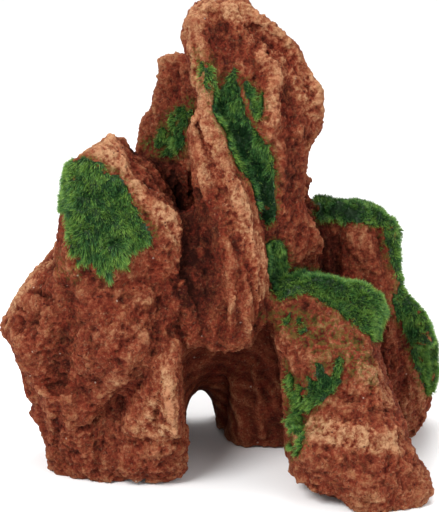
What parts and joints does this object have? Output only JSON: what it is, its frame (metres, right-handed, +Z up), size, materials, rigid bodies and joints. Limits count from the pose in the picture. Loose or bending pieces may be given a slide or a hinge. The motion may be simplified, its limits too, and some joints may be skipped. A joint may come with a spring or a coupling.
{
  "type": "aquarium cave ornament",
  "caption": "Cast resin rock formation with a tall central spire, a fish cave through its base and green flocked moss on its ledges.",
  "frame": {"origin": "on the floor, under the middle of the ornament's bounding box", "axes": "+Z up, +Y away from the viewer through the cave, +X to the viewer's right, so the cave mouth faces -Y"},
  "size_m": [0.1904, 0.1232, 0.2016],
  "materials": {
    "red_rock": "rough, gritty cast resin painted reddish brown with pale tan patches",
    "pale_rock": "rough cast resin painted pale tan over reddish brown",
    "dark_rock": "cast resin painted dark reddish brown, with swirled flow lines inside the cave",
    "mortar": "matt resin mortar, sanded and painted with the rock",
    "moss": "upright green flock fibres on a glue layer"
  },
  "bodies": {
    "root": {"cave_vault": "dark_rock", "flowstone_rib": "pale_rock", "front_right_boulder": "red_rock", "front_right_toe": "red_rock", "left_crown": "red_rock", "left_foot": "red_rock", "left_heel_stone": "red_rock", "left_shoulder": "red_rock", "left_toe_cobble": "red_rock", "main_spire": "red_rock", "mortar_boulder_footing": "mortar", "mortar_boulder_rear": "mortar", "mortar_boulder_spire": "mortar", "mortar_boulder_vault": "mortar", "mortar_crown_pinnacle": "mortar", "mortar_foot_heel": "mortar", "mortar_foot_shoulder": "mortar", "mortar_foot_toe": "mortar", "mortar_foot_vault": "mortar", "mortar_footing_rear": "mortar", "mortar_pinnacle_saddle": "mortar", "mortar_rib_spire": "mortar", "mortar_rib_vault": "mortar", "mortar_saddle_rear": "mortar", "mortar_shoulder_crown": "mortar", "mortar_shoulder_pinnacle": "mortar", "mortar_shoulder_vault": "mortar", "mortar_spire_pinnacle": "mortar", "mortar_spire_rear": "mortar", "mortar_spire_saddle": "mortar", "mortar_toe_boulder": "mortar", "mortar_vault_footing": "mortar", "mortar_vault_pinnacle": "mortar", "mortar_vault_rear": "mortar", "mortar_vault_saddle": "mortar", "mortar_vault_spire": "mortar", "moss_boulder_band": "moss", "moss_boulder_cap": "moss", "moss_boulder_fleck": "moss", "moss_left_crown": "moss", "moss_pinnacle": "moss", "moss_pinnacle_back": "moss", "moss_rear_crown": "moss", "moss_rear_edge": "moss", "moss_rear_edge_back": "moss", "moss_spire_groove": "moss", "moss_spire_skirt": "moss", "moss_spire_streak": "moss", "moss_spire_tuft": "moss", "moss_toe_band": "moss", "rear_right_boulder": "red_rock", "rear_right_footing": "red_rock", "rear_saddle": "red_rock", "spire_front_rib": "red_rock", "spire_rear_shoulder": "red_rock"}
  },
  "joints": []
}
